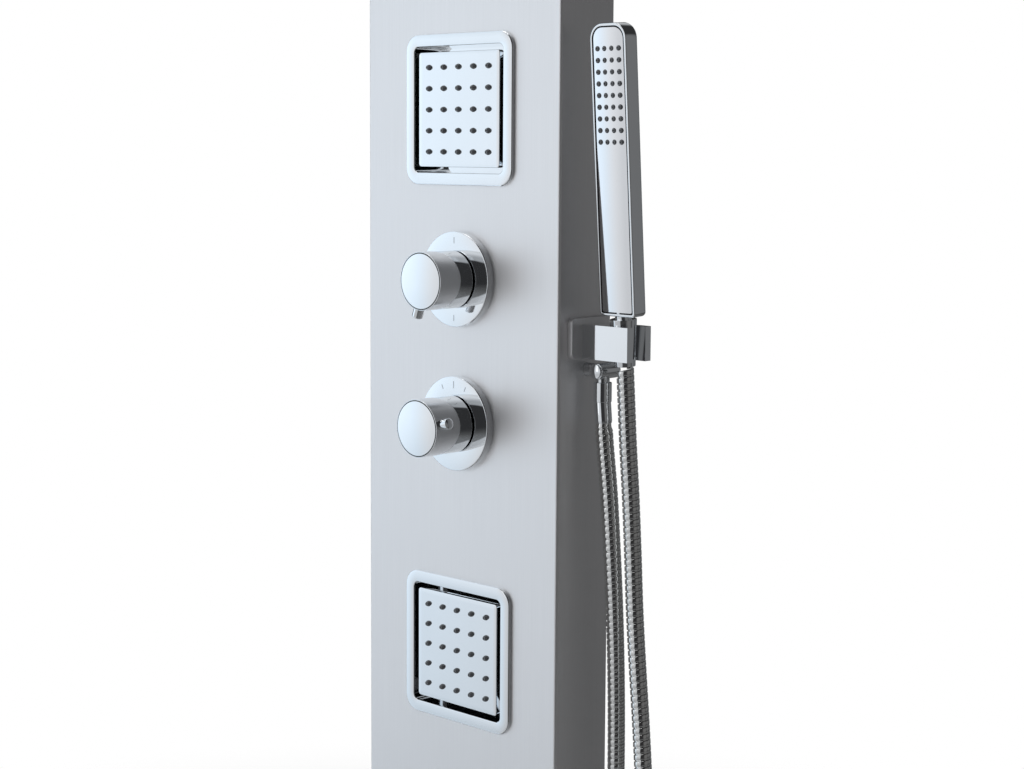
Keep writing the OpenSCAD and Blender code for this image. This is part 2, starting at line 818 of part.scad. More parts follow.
holder_screws();
outlet_body();
outlet_cap();
hose_nut();
shower_hose();
hose_cone_nut();
handset_body();
handset_face();
handset_nozzles();
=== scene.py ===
"""Rainfall shower column: the looks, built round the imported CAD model.

Metres, +Z up. The wall is the plane y = 0, the front faces -Y, and +X is the hand shower's side.
"""

import json
import math

import bmesh
import bpy
import numpy as np
from mathutils import Matrix, Vector


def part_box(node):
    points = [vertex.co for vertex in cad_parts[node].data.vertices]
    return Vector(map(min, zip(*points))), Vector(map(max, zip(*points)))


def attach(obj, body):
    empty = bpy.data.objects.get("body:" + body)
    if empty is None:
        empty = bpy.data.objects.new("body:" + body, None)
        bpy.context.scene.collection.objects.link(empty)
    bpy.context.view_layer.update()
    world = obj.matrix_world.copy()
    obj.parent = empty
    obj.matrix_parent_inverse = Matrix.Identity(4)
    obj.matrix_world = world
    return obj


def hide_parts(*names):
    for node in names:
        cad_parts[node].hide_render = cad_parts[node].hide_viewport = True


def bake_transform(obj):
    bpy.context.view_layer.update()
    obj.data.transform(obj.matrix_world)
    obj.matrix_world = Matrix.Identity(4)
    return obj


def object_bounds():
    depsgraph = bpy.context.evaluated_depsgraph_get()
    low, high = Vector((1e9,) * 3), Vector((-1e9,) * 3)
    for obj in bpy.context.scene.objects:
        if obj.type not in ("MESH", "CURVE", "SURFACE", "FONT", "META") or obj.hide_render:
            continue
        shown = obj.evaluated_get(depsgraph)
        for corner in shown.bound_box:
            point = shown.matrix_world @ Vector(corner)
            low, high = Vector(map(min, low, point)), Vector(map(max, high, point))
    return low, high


MM = 0.001

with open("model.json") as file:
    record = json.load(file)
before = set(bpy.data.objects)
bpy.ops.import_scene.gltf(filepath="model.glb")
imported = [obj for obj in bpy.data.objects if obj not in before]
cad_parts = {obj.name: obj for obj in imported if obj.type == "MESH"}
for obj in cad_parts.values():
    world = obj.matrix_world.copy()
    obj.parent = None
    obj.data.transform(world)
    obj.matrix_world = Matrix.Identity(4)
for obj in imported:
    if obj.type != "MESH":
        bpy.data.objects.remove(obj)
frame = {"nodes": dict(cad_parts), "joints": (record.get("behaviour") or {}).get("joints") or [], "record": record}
nodes = frame["nodes"]
cad_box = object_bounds()

# The hinges' places, in millimetres
PIVOTS = {joint["name"]: Vector(joint["pos_m"]) / MM for joint in frame["joints"] if joint.get("pos_m")}


def front_of(node):
    """How far the front of a CAD node stands out from the wall, in millimetres."""
    return -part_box(node)[0].y / MM


def back_of(node):
    """How far the back of a CAD node lies from the wall, in millimetres."""
    return -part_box(node)[1].y / MM


def width_of(node):
    """How wide a CAD node is, in millimetres."""
    low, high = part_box(node)
    return (high.x - low.x) / MM


# ---- camera ----

CAMERA_AT = (1.1164, -1.1506, 0.1385)
CAMERA_YAW = 44.092
CAMERA_PITCH = -6.374
CAMERA_ROLL = 0.352
CAMERA_LENS = 67.63
CAMERA_SHIFT_Y = -0.02


def make_camera():
    """The scene's camera. It is turned, then tilted, then rolled by the angles above."""
    data = bpy.data.cameras.new("camera")
    data.sensor_width = 36
    data.lens = CAMERA_LENS
    data.shift_y = CAMERA_SHIFT_Y
    camera = bpy.data.objects.new("camera", data)
    turn = Matrix.Rotation(math.radians(CAMERA_YAW), 4, "Z")
    tilt = Matrix.Rotation(math.radians(90 + CAMERA_PITCH), 4, "X")
    roll = Matrix.Rotation(math.radians(CAMERA_ROLL), 4, "Z")
    camera.matrix_world = Matrix.Translation(CAMERA_AT) @ turn @ tilt @ roll
    bpy.context.scene.collection.objects.link(camera)
    bpy.context.scene.camera = camera


make_camera()

# ---- materials ----


MIX_FIRST, MIX_SECOND, MIX_RESULT = 6, 7, 2  # places of the colour sockets on a Mix node


class Graph:
    """Adds nodes to a tree. An input that is given a socket is linked, and any other value is set."""

    def __init__(self, tree):
        self.tree = tree
        tree.nodes.clear()

    def add(self, kind, inputs=None, **settings):
        node = self.tree.nodes.new("ShaderNode" + kind)
        for name, value in settings.items():
            setattr(node, name, value)
        for name, value in (inputs or {}).items():
            if isinstance(value, bpy.types.NodeSocket):
                self.tree.links.new(value, node.inputs[name])
            else:
                node.inputs[name].default_value = value
        return node

    def place(self, stretch=(1, 1, 1), turn=(0, 0, 0)):
        """The object's own coordinates in metres, times stretch."""
        where = self.add("TexCoord").outputs["Object"]
        return self.add("Mapping", {"Vector": where, "Scale": stretch, "Rotation": turn}).outputs["Vector"]

    def noise(self, where, scale, detail, rough=0.5):
        inputs = {"Vector": where, "Scale": scale, "Detail": detail, "Roughness": rough}
        return self.add("TexNoise", inputs).outputs["Fac"]

    def span(self, value, low, high, start=0.3, end=0.7):
        """Maps value from the range start..end to low..high."""
        inputs = {"Value": value, "From Min": start, "From Max": end, "To Min": low, "To Max": high}
        return self.add("MapRange", inputs).outputs["Result"]

    def mix(self, factor, first, second):
        """The first colour where the factor is 0 and the second where it is 1."""
        node = self.add("Mix", {"Factor": factor}, data_type="RGBA")
        for index, colour in ((MIX_FIRST, first), (MIX_SECOND, second)):
            if isinstance(colour, bpy.types.NodeSocket):
                self.tree.links.new(colour, node.inputs[index])
            else:
                node.inputs[index].default_value = (*colour, 1)
        return node.outputs[MIX_RESULT]

    def bump(self, height, depth_mm):
        """A normal for a relief that is depth_mm deep where the height runs from 0 to 1."""
        return self.add("Bump", {"Height": height, "Distance": depth_mm * MM}).outputs["Normal"]


def surface(name, colour, rough, normal, **constants):
    """A Principled material. colour, rough and normal are functions that take the graph."""
    material = bpy.data.materials.new(name)
    material.use_nodes = True
    graph = Graph(material.node_tree)
    shader = graph.add("BsdfPrincipled")
    for socket, made_by in (("Base Color", colour), ("Roughness", rough), ("Normal", normal)):
        graph.tree.links.new(made_by(graph), shader.inputs[socket])
    for socket, value in constants.items():
        shader.inputs[socket.replace("_", " ").title().replace("Ior", "IOR")].default_value = value
    output = graph.add("OutputMaterial")
    graph.tree.links.new(shader.outputs["BSDF"], output.inputs["Surface"])
    return material


def cloudy(first, second, scale, stretch=(1, 1, 1)):
    """A colour that drifts between two tones."""
    return lambda g: g.mix(g.span(g.noise(g.place(stretch), scale, 3), 0, 1), first, second)


def uneven(low, high, scale):
    """A roughness that drifts between two values."""
    return lambda g: g.span(g.noise(g.place(), scale, 3), low, high)


def grain(scale, depth_mm, stretch=(1, 1, 1), detail=2.0):
    """A bumpy normal made of noise."""
    return lambda g: g.bump(g.noise(g.place(stretch), scale, detail), depth_mm)


def satin_steel():
    """Sheet steel with a fine upright brush grain under a clear satin polish."""
    brush = (1, 1, 0.012)

    def rough(g):
        streaks = g.noise(g.place(brush), 1400, 4, 0.6)
        handling = g.noise(g.place(), 6, 3)
        terms = {0: g.span(streaks, 0.38, 0.43), 1: g.span(handling, 0.0, 0.03)}
        return g.add("Math", terms, operation="ADD").outputs[0]

    return surface(
        "satin_steel",
        cloudy((0.905, 0.895, 0.90), (0.93, 0.92, 0.925), 900, brush),
        rough,
        grain(1400, 0.003, brush, 4),
        metallic=0.88,
        anisotropic=0.25,
    )


def chrome(name="chrome", colour=(0.90, 0.92, 0.94), low=0.025, high=0.07):
    """Mirror plating with a faint ripple and water marks."""
    return surface(
        name,
        cloudy(colour, tuple(c * 0.975 for c in colour), 25),
        uneven(low, high, 18),
        grain(160, 0.002),
        metallic=1.0,
    )


def zinc():
    """Bright zinc on steel, with its spangle of crystals."""

    def spangle(g):
        return g.add("TexVoronoi", {"Vector": g.place(), "Scale": 170}).outputs["Color"]

    def tone(g):
        shade = g.add("RGBToBW", {"Color": spangle(g)}).outputs[0]
        return g.mix(shade, (0.46, 0.48, 0.50), (0.66, 0.68, 0.70))

    def rough(g):
        return g.span(g.add("RGBToBW", {"Color": spangle(g)}).outputs[0], 0.28, 0.46, 0, 1)

    return surface("zinc_steel", tone, rough, grain(900, 0.01), metallic=1.0)


def brass():
    """Brass with cast skin and the rings of the lathe."""
    return surface(
        "brass",
        cloudy((0.66, 0.47, 0.22), (0.76, 0.58, 0.30), 60),
        uneven(0.22, 0.42, 90),
        grain(700, 0.02),
        metallic=1.0,
    )


def plastic(name, colour, shade, low, high, grain_mm):
    """Moulded plastic whose colour and polish drift a little over its skin."""
    return surface(
        name,
        cloudy(colour, shade, 120),
        uneven(low, high, 60),
        grain(1800, grain_mm),
        specular_ior_level=0.5,
    )


def rubber():
    """Silicone with a chalky bloom."""
    return surface(
        "nozzle_rubber",
        cloudy((0.20, 0.205, 0.215), (0.25, 0.255, 0.265), 500),
        uneven(0.34, 0.46, 300),
        grain(3000, 0.008),
        sheen_weight=0.1,
    )


def braid():
    """Crossed steel wires round a pipe."""

    def wires(g):
        heights = []
        for slope in (1, -1):
            inputs = {"Vector": g.place((1, 1, 1), (0, slope * 0.85, 0)), "Scale": 420, "Distortion": 0.4}
            heights.append(g.add("TexWave", inputs).outputs["Fac"])
        return g.add("Math", {0: heights[0], 1: heights[1]}, operation="MAXIMUM").outputs[0]

    return surface(
        "braid",
        lambda g: g.mix(wires(g), (0.12, 0.12, 0.13), (0.60, 0.61, 0.63)),
        uneven(0.28, 0.42, 200),
        lambda g: g.bump(wires(g), 0.35),
        metallic=1.0,
    )


LOOKS = {
    "satin_steel": satin_steel(),
    "chrome": chrome(),
    "zinc_steel": zinc(),
    "brass": brass(),
    "black_plastic": plastic(
        "black_plastic", (0.008, 0.008, 0.009), (0.014, 0.014, 0.015), 0.18, 0.30, 0.004
    ),
    "grey_plastic": plastic(
        "grey_plastic", (0.035, 0.035, 0.037), (0.05, 0.05, 0.052), 0.38, 0.52, 0.02
    ),
    "white_plastic": plastic(
        "white_plastic", (0.80, 0.80, 0.78), (0.74, 0.74, 0.71), 0.25, 0.38, 0.01
    ),
    "nozzle_rubber": rubber(),
    "braid": braid(),
    "hose_steel": chrome("hose_steel", (0.80, 0.80, 0.79), 0.06, 0.14),
    "hand_face": chrome("hand_face", (0.91, 0.92, 0.94), 0.03, 0.06),
}

# ---- mesh helpers ----

WELD = 1e-6  # points closer than this become one


def piece(name, points, faces, look, body, smooth_deg=35):
    """A new mesh object. It rides on a CAD body, unless body is None because it bends between two."""
    mesh = bpy.data.meshes.new(name)
    mesh.from_pydata([tuple(p) for p in points], [], faces)
    mesh.validate()
    welded = bmesh.new()
    welded.from_mesh(mesh)
    bmesh.ops.remove_doubles(welded, verts=welded.verts, dist=WELD)
    bmesh.ops.recalc_face_normals(welded, faces=welded.faces)
    welded.to_mesh(mesh)
    welded.free()
    mesh.shade_smooth()
    mesh.set_sharp_from_angle(angle=math.radians(smooth_deg))
    mesh.materials.append(LOOKS[look])
    made = bpy.data.objects.new(name, mesh)
    bpy.context.scene.collection.objects.link(made)
    if body:
        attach(made, body)
    return made


def soften(corners, steps=5):
    """Rounds the corners of an open profile. A corner is (distance, height) or, with a radius, (d, h, r)."""
    profile = []
    for i, corner in enumerate(corners):
        here = Vector(corner[:2])
        if len(corner) == 2:
            profile.append(tuple(here))
            continue
        before = (Vector(corners[i - 1][:2]) - here).normalized()
        after = (Vector(corners[i + 1][:2]) - here).normalized()
        half = before.angle(after) / 2
        centre = here + (before + after).normalized() * corner[2] / math.sin(half)
        reach = corner[2] / math.tan(half)
        start, end = here + before * reach - centre, here + after * reach - centre
        for k in range(steps + 1):
            arm = start.lerp(end, k / steps).normalized() * corner[2]
            profile.append(tuple(centre + arm))
    return profile


def lathe_mesh(profile, place, sides, first):
    """Points and faces of a turned shape, whose first point gets the number first.

    The profile is (radius, height) along the place's local Z.
    """
    points = []
    for radius, height in profile:
        for j in range(sides):
            angle = math.tau * j / sides
            point = Vector((radius * math.cos(angle), radius * math.sin(angle), height))
            points.append(place @ point * MM)
    faces = []
    for i in range(len(profile) - 1):
        for j in range(sides):
            a, b = first + i * sides + j, first + i * sides + (j + 1) % sides
            faces.append((a, b, b + sides, a + sides))
    return points, faces


def turned(name, profile, places, look, body, sides, smooth_deg=35):
    """One piece made of a turned shape that is repeated at every place."""
    points, faces = [], []
    for place in places:
        more, walls = lathe_mesh(profile, place, sides, len(points))
        points += more
        faces += walls
    return piece(name, points, faces, look, body, smooth_deg)


SMALLEST_CORNER = 0.2


def slab(name, shape, profile, place, look, body, closed=False, steps=10):
    """An upright plate. shape is (width, bottom, top, low radius, top radius, shrink).

    The profile is (inset, y). The corner radii shrink by that share of the inset.
    """
    width, z0, z1, low_r, top_r, shrink = shape
    points = []
    for inset, y in profile:
        low = max(low_r - inset * shrink, SMALLEST_CORNER)
        high = max(top_r - inset * shrink, SMALLEST_CORNER)
        half = width / 2 - inset
        bottom, top = z0 + inset, z1 - inset
        corners = (
            (-half + low, bottom + low, low, 180),
            (half - low, bottom + low, low, 270),
            (half - high, top - high, high, 0),
            (-half + high, top - high, high, 90),
        )
        for x, z, radius, start in corners:
            for k in range(steps + 1):
                angle = math.radians(start + 90 * k / steps)
                corner = Vector((x + radius * math.cos(angle), y, z + radius * math.sin(angle)))
                points.append(place @ corner * MM)
    count = 4 * (steps + 1)
    rings = len(profile)
    faces = []
    for i in range(rings if closed else rings - 1):
        for j in range(count):
            a, b = i * count + j, i * count + (j + 1) % count
            c, d = ((i + 1) % rings) * count + (j + 1) % count, ((i + 1) % rings) * count + j
            faces.append((a, b, c, d))
    if not closed:
        faces.append(tuple(range(count)))
        faces.append(tuple(range((rings - 1) * count, rings * count)))
    return piece(name, points, faces, look, body)


def at(x, y, z):
    """A shift in millimetres."""
    return Matrix.Translation((x, y, z))


def facing_room(x, z):
    """Local Z points at the room, and its heights are counted from the wall."""
    return at(x, 0, z) @ Matrix.Rotation(math.radians(90), 4, "X")


# ---- shower hose ----

# The route of the CAD model's hose in millimetres, from the outlet's nut to the hand shower's cone nut
HOSE_ROUTE = [
    (126, -26, -58), (129, -26, -90), (133, -25, -130), (136, -24, -175), (137.5, -22, -220),
    (138, -20, -265), (137.5, -18, -310), (137, -17, -355), (135, -15, -400), (133, -14, -445),
    (132, -13, -490), (131, -13, -535), (129, -13, -580), (127, -13, -625), (126, -13, -665),
    (127, -14, -695), (133, -19, -722), (148, -32, -742), (170, -51, -750), (192, -70, -742),
    (207, -84, -722), (213, -89, -695), (212, -87, -665), (208, -81, -625), (203, -72, -580),
    (198, -61, -535), (193, -51, -490), (187.5, -42, -445), (182, -34, -400), (176, -29, -355),
    (170, -26, -310), (164, -24, -265), (158.5, -22, -220), (155, -21, -175), (152, -21, -130),
    (149.5, -22, -90), (147.5, -22, -60), (146, -22.7, -29),
]
HOSE_R = 7 * MM
HOSE_SIDE = Vector((0.66, 0.75, 0))  # the strip's turns are counted from a line square to this one
HOSE_PITCH = 5.1 * MM
HOSE_STEP = 3 * MM  # distance between the points of the centre line
HOSE_LOOK = 2 * MM  # the line's direction is taken between points this far behind and ahead
# One turn of the interlocked strip: share of the pitch, share of the hose's radius
STRIP = ((0.0, 0.87), (0.08, 0.87), (0.12, 0.975), (0.20, 1.0), (0.80, 1.0), (0.90, 0.975), (0.93, 0.87))
HOSE_SIDES = 20
FERRULE = 17  # length of the smooth sleeve that is pressed on the hose below its nut
FERRULE_GRIP = 0.86  # share of the hose's radius that is left inside the sleeve


def smooth_line(points, step):
    """A Catmull-Rom curve through the points, as points about step apart."""
    p = [Vector(q) for q in points]
    p = [2 * p[0] - p[1]] + p + [2 * p[-1] - p[-2]]
    line = []
    for a, b, c, d in zip(p, p[1:], p[2:], p[3:]):
        count = max(2, round((c - b).length / step))
        for k in range(count):
            t = k / count
            bend = (2 * a - 5 * b + 4 * c - d) * t**2
            twist = (3 * b - a - 3 * c + d) * t**3
            line.append(0.5 * (2 * b + (c - a) * t + bend + twist))
    return line + [p[-2]]


def along(line):
    """Distances along a line of points."""
    lengths = [0.0]
    for a, b in zip(line, line[1:]):
        lengths.append(lengths[-1] + (b - a).length)
    return np.array(lengths)


def make_hose():
    """An interlocked strip wound as a screw along the hose's route."""
    line = smooth_line([Vector(p) * MM for p in HOSE_ROUTE], HOSE_STEP)
    lengths = along(line)
    whole = lengths[-1]
    coords = np.array(line)
    rows = len(STRIP)
    turns = int(whole / HOSE_PITCH)
    points = []

    def spot(s):
        """The centre line's point at the distance s from its start."""
        return Vector([np.interp(s, lengths, coords[:, k]) for k in range(3)])

    for i in range((turns + 1) * rows + 1):
        share, width = STRIP[i % rows]
        for j in range(HOSE_SIDES):
            s = (i // rows + share + j / HOSE_SIDES - 1) * HOSE_PITCH
            s = min(max(s, 0.0), whole)
            ahead = spot(min(s + HOSE_LOOK, whole)) - spot(max(s - HOSE_LOOK, 0))
            u = ahead.cross(HOSE_SIDE).normalized()
            v = ahead.cross(u).normalized()
            angle = math.tau * j / HOSE_SIDES
            if s < FERRULE * MM:
                width = min(width, FERRULE_GRIP)
            points.append(spot(s) + HOSE_R * width * (math.cos(angle) * u + math.sin(angle) * v))
    faces = []
    last = (turns + 1) * rows
    for i in range(last):
        for j in range(HOSE_SIDES):
            far = (i + rows) if j == HOSE_SIDES - 1 else i
            if far + 1 > last:
                continue
            a, b = i * HOSE_SIDES + j, (i + 1) * HOSE_SIDES + j
            c = (far + 1) * HOSE_SIDES + (j + 1) % HOSE_SIDES
            d = far * HOSE_SIDES + (j + 1) % HOSE_SIDES
            faces.append((a, b, c, d))
    hose = piece("hose_strip", points, faces, "hose_steel", None, 60)
    return hose, line


hose, hose_line = make_hose()
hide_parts("shower_hose")
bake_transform(hose)

SLEEVE = soften([(6.0, 0.5), (6.7, 0.5, 0.2), (6.7, -15, 0.8), (6.3, -FERRULE, 0.3), (6.0, -FERRULE)])


def make_ferrule():
    """The sleeve, in line with the first stretch of the hose."""
    start, after = Vector(HOSE_ROUTE[0]), Vector(HOSE_ROUTE[1])
    drop = (after - start).rotation_difference(Vector((0, 0, -1))).inverted().to_matrix().to_4x4()
    return turned("hose_ferrule", SLEEVE, [at(*start) @ drop], "chrome", "root", 48)


ferrule = make_ferrule()

# ---- body jets ----

BEZEL_BACK = back_of("upper_jet_bezel")
BEZEL_W = width_of("upper_jet_bezel")
BEZEL_FRONT = front_of("upper_jet_bezel")
BEZEL_SHAPE = (BEZEL_W, -BEZEL_W / 2, BEZEL_W / 2, 14, 14, 0.9)
BEZEL = soften([(0, -BEZEL_BACK), (0, -BEZEL_FRONT, 1.3), (10, -BEZEL_FRONT, 0.7), (10, -BEZEL_BACK)])
PLATE_W = width_of("upper_jet_face")
PLATE_BACK = back_of("upper_jet_face")
PLATE_FRONT = front_of("upper_jet_face")
PLATE_SHAPE = (PLATE_W, -PLATE_W / 2, PLATE_W / 2, 2.5, 2.5, 0.4)
PLATE = soften([(1.5, -PLATE_BACK), (0, -PLATE_BACK, 0.5), (0, -PLATE_FRONT, 0.6), (4, -PLATE_FRONT)])
JET_PITCH = 17
NOZZLE = soften([(2.4, 0), (2.25, 0.9, 0.4), (1.5, 2.6, 0.4), (0.6, 2.6, 0.12), (0.45, 1.8), (0, 1.8)], 3)
NOZZLE_ROOT = 0.05  # depth by which a nozzle's foot is sunk in its plate


def make_jet(name):
    """A body jet's bezel, spray plate and nozzles."""
    z = PIVOTS[name + "_jet_tilt"].z
    plate = name + "_jet_plate"
    bezel = slab(name + "_bezel", BEZEL_SHAPE, BEZEL, at(0, 0, z), "chrome", "root", closed=True)
    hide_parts(name + "_jet_bezel")
    face = slab(name + "_plate", PLATE_SHAPE, PLATE, at(0, 0, z), "chrome", plate)
    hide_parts(name + "_jet_face")
    grid = [(i * JET_PITCH, z + j * JET_PITCH) for i in range(-2, 3) for j in range(-2, 3)]
    foot = at(0, 0, PLATE_FRONT - NOZZLE_ROOT)
    places = [facing_room(x, height) @ foot for x, height in grid]
    tips = turned(name + "_tips", NOZZLE, places, "nozzle_rubber", plate, 20)
    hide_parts(name + "_jet_nozzles")


make_jet("upper")
make_jet("lower")

# ---- knobs and their flanges ----

# The heights of the knob's and the flange's profiles are counted from the wall.
KNOB_R = width_of("mixer_knob") / 2
KNOB_BACK = back_of("mixer_knob")
FLANGE_R = width_of("mixer_flange") / 2
FLANGE_FRONT = front_of("mixer_flange")
FLANGE = soften(
    [
        (13, 64.5),
        (13, FLANGE_FRONT, 0.4),
        (FLANGE_R, FLANGE_FRONT, 1.0),
        (FLANGE_R, 60.1),
        (36, 60.1),
        (36, 64.5),
        (13, 64.5),
    ]
)
# The peg stands out from the knob's flank. Its heights are counted from the knob's axis.
PEG = soften([(0, 32.1), (3.2, 32.1), (4.5, 31.4, 0.8), (4.5, 20.6), (0, 20.6)])
PEG_FROM_CAP = 7.5  # how far the peg's axis lies behind the knob's face
FACE_R = 22  # radius of the knob's domed face
MARK_W = 0.9
MARK_SINK, MARK_RISE = 0.1, 0.06  # how far an index mark reaches into its flange and stands out of it


def knob_profile(cap):
    """A cup with a faintly domed face, a fine groove round the face and a hub on the stem."""
    dome = [(FACE_R * k / 8, cap + 0.35 - 0.9 * (k / 8) ** 2) for k in range(9)]
    groove = [(22.05, cap - 1.4), (22.85, cap - 1.4), (22.9, cap - 0.75)]
    rim = [(22.9, cap - 0.75), (KNOB_R, cap - 0.8, 0.3)]
    flank = soften(rim + [(KNOB_R, KNOB_BACK, 0.6), (20.5, KNOB_BACK)])
    cavity = [(20.5, cap - 4), (9, cap - 4), (9, KNOB_BACK + 2)]
    bore = [(5.1, KNOB_BACK + 2), (5.1, cap - 5), (0, cap - 5)]
    return dome + groove + flank[1:] + cavity + bore


def make_marks(name, place, marks):
    """Raised index lines on a flange. A mark is (degrees round the flange, inner radius, outer radius)."""
    half = MARK_W / 2
    box = ((0, 1, 2, 3), (4, 5, 6, 7), (0, 1, 5, 4), (1, 2, 6, 5), (2, 3, 7, 6), (3, 0, 4, 7))
    points, faces = [], []
    for around, inner, outer in marks:
        turn = place @ Matrix.Rotation(math.radians(around), 4, "Z")
        first = len(points)
        for height in (FLANGE_FRONT - MARK_SINK, FLANGE_FRONT + MARK_RISE):
            for x, y in ((inner, -half), (outer, -half), (outer, half), (inner, half)):
                points.append(turn @ Vector((x, y, height)) * MM)
        faces += [tuple(first + k for k in face) for face in box]
    piece(name + "_marks", points, faces, "zinc_steel", "root")


def make_knob(name, peg_deg, marks):
    """A knob with a black ring that paints shade into the groove round its face, its peg and its flange. The peg
    stands peg_deg round from +X.
    """
    handle = name + "_handle"
    place = facing_room(0, PIVOTS[name + "_turn"].z)
    cap = front_of(name + "_knob")
    knob = turned(name + "_cup", knob_profile(cap), [place], "chrome", handle, 128, 50)
    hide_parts(name + "_knob")
    # A black ring on the floor of the face groove: painted shade, standing in for the shadow inside the groove.
    ring = [(21.9, cap - 1.3), (23, cap - 1.3)]
    groove_shade = turned(name + "_seal", ring, [place], "black_plastic", handle, 128)
    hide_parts(name + "_knob")
    round_axis = Matrix.Rotation(math.radians(peg_deg), 4, "Z")
    sideways = Matrix.Rotation(math.radians(90), 4, "Y")
    outward = place @ at(0, 0, cap - PEG_FROM_CAP) @ round_axis @ sideways
    peg = turned(name + "_grip", PEG, [outward], "chrome", handle, 40)
    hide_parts(name + "_peg")
    flange = turned(name + "_plate", FLANGE, [place], "chrome", "root", 160)
    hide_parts(name + "_flange")
    make_marks(name, place, marks)


make_knob("mixer", 250, ((90, 29, 34), (270, 29, 34)))
make_knob("diverter", 12, ((66, 30, 34), (90, 29, 35), (114, 30, 34)))

# ---- hand shower and its outlet ----

HOLDER_AT = (146, -24, -10.5)  # the middle of the holder
HAND_LEAN_DEG = 4
HAND_AXIS = at(*HOLDER_AT) @ Matrix.Rotation(math.radians(HAND_LEAN_DEG), 4, "X")
HAND_FOOT = 21.5  # how far the hand shower's lower end lies above the middle of the holder
HAND = HAND_AXIS @ at(0, 0, HAND_FOOT)
HAND_W = 36
HAND_L = 223.5
HAND_HALF_T = 7.5
HAND_TOP_R = 12
HAND_SHAPE = (HAND_W, 0, HAND_L, 3.5, HAND_TOP_R, 1.0)
GROOVE_INSET = 2.2
GROOVE_FLOOR = 6.3  # how far the groove's floor lies in front of the hand shower's middle plane
HAND_SHELL = soften(
    [
        (6, -6.2),
        (GROOVE_INSET, -6.2),
        (GROOVE_INSET, -HAND_HALF_T, 0.35),
        (0, -HAND_HALF_T, 0.9),
        (0, HAND_HALF_T, 3.2),
        (6, HAND_HALF_T),
    ]
)
# The black strip that paints shade on the floor of the groove round the face.
HAND_GROOVE = [(GROOVE_INSET, -GROOVE_FLOOR), (6, -GROOVE_FLOOR)]
HAND_NECK = soften([(0, 4), (6.5, 4), (6.5, -2.5), (3.4, -2.5), (3.4, 4)])
FACE_INSET = 3.3
FACE_EDGE = 7.0  # how far the face's long edges lie in front of that plane
FACE_BULGE = 0.62  # how far the middle of the face stands in front of its long edges
FACE_COLUMNS = 28
HAND_TIP = [(2.1, 0), (2.0, 0.5, 0.25), (1.2, 1.4, 0.35), (0.6, 1.4, 0.12), (0.5, 0.6), (0, 0.6)]
HAND_TIP_FOOT = 7.3  # how far the nozzles' feet lie in front of that plane
HAND_TIP_ACROSS, HAND_TIP_UP = 7, 8.8  # distances between the hand shower's nozzles
HAND_TIP_TOP = 204.5


def make_hand_face():
    """The chromed face, faintly domed across its width."""
    half = HAND_W / 2 - FACE_INSET

    def rise(x, radius):
        """How far a round corner has drawn the end of the outline in at x."""
        over = abs(x) - (half - radius)
        return radius - math.sqrt(max(radius**2 - over**2, 0)) if over > 0 else 0

    points, faces = [], []
    for k in range(FACE_COLUMNS + 1):
        x = half * math.sin(math.pi * (k / FACE_COLUMNS - 0.5))
        low = FACE_INSET + rise(x, 1.2)
        high = HAND_L - FACE_INSET - rise(x, HAND_TOP_R - FACE_INSET)
        front = -FACE_EDGE - FACE_BULGE * (1 - (x / half) ** 2)
        for y, z in ((-GROOVE_FLOOR, low), (front, low), (front, high), (-GROOVE_FLOOR, high)):
            points.append(HAND @ Vector((x, y, z)) * MM)
    for k in range(FACE_COLUMNS):
        for i in range(3):
            a = 4 * k + i
            faces.append((a, a + 1, a + 5, a + 4))
    faces += [(0, 1, 2, 3), tuple(4 * FACE_COLUMNS + i for i in range(4))]
    face = piece("hand_plate", points, faces, "hand_face", "hand_shower")
    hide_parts("handset_face")


def make_hand_shower():
    """The hand shower's shell, neck, a black strip that paints shade on the groove's floor, face and nozzles."""
    shell = slab("hand_shell", HAND_SHAPE, HAND_SHELL, HAND, "chrome", "hand_shower", steps=14)
    collar = turned("hand_neck", HAND_NECK, [HAND], "chrome", "hand_shower", 48)
    # A black strip on the floor of the groove round the face: painted shade, standing in for the shadow inside the
    # groove.
    groove_shade = slab("hand_groove_shade", HAND_SHAPE, HAND_GROOVE, HAND, "black_plastic", "hand_shower", steps=14)
    for made in (shell, collar, groove_shade):
        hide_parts("handset_body")
    make_hand_face()
    to_front = Matrix.Rotation(math.radians(90), 4, "X") @ at(0, 0, HAND_TIP_FOOT)
    places = []
    for i in range(4):
        for j in range(9):
            middle = at((i - 1.5) * HAND_TIP_ACROSS, 0, HAND_TIP_TOP - j * HAND_TIP_UP)
            places.append(HAND @ middle @ to_front)
    tips = turned("hand_tips", soften(HAND_TIP, 3), places, "nozzle_rubber", "hand_shower", 20)
    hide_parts("handset_nozzles")


make_hand_shower()

OUTLET_X, OUTLET_Z = 126, -33.5
OUTLET_CAP = soften([(0, 36.6), (2, 36.5), (4, 36.2), (5.9, 35.6, 0.5), (5.9, 34), (0, 34)])
outlet_place = facing_room(OUTLET_X, OUTLET_Z)
outlet_disc = turned("outlet_disc", OUTLET_CAP, [outlet_place], "chrome", "root", 48)
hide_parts("outlet_cap")

# ---- rain head's nozzles ----

HEAD_Y = PIVOTS["head_tilt"].y
HEAD_FACE_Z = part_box("rain_head_face")[0].z / MM
HEAD_PITCH = 20
HEAD_NOZZLE_ROOT = 0.1  # depth by which a nozzle's foot is sunk in the rain head's face


def make_head_nozzles():
    """The square field of nozzles under the rain head."""
    down = Matrix.Rotation(math.radians(180), 4, "X")
    steps = range(-4, 5)
    spots = [(i * HEAD_PITCH, j * HEAD_PITCH + HEAD_Y) for i in steps for j in steps]
    places = [at(x, y, HEAD_FACE_Z + HEAD_NOZZLE_ROOT) @ down for x, y in spots]
    tips = turned("head_tips", NOZZLE, places, "nozzle_rubber", "rain_head", 16)
    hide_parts("rain_head_nozzles")


make_head_nozzles()

# ---- CAD nodes ----

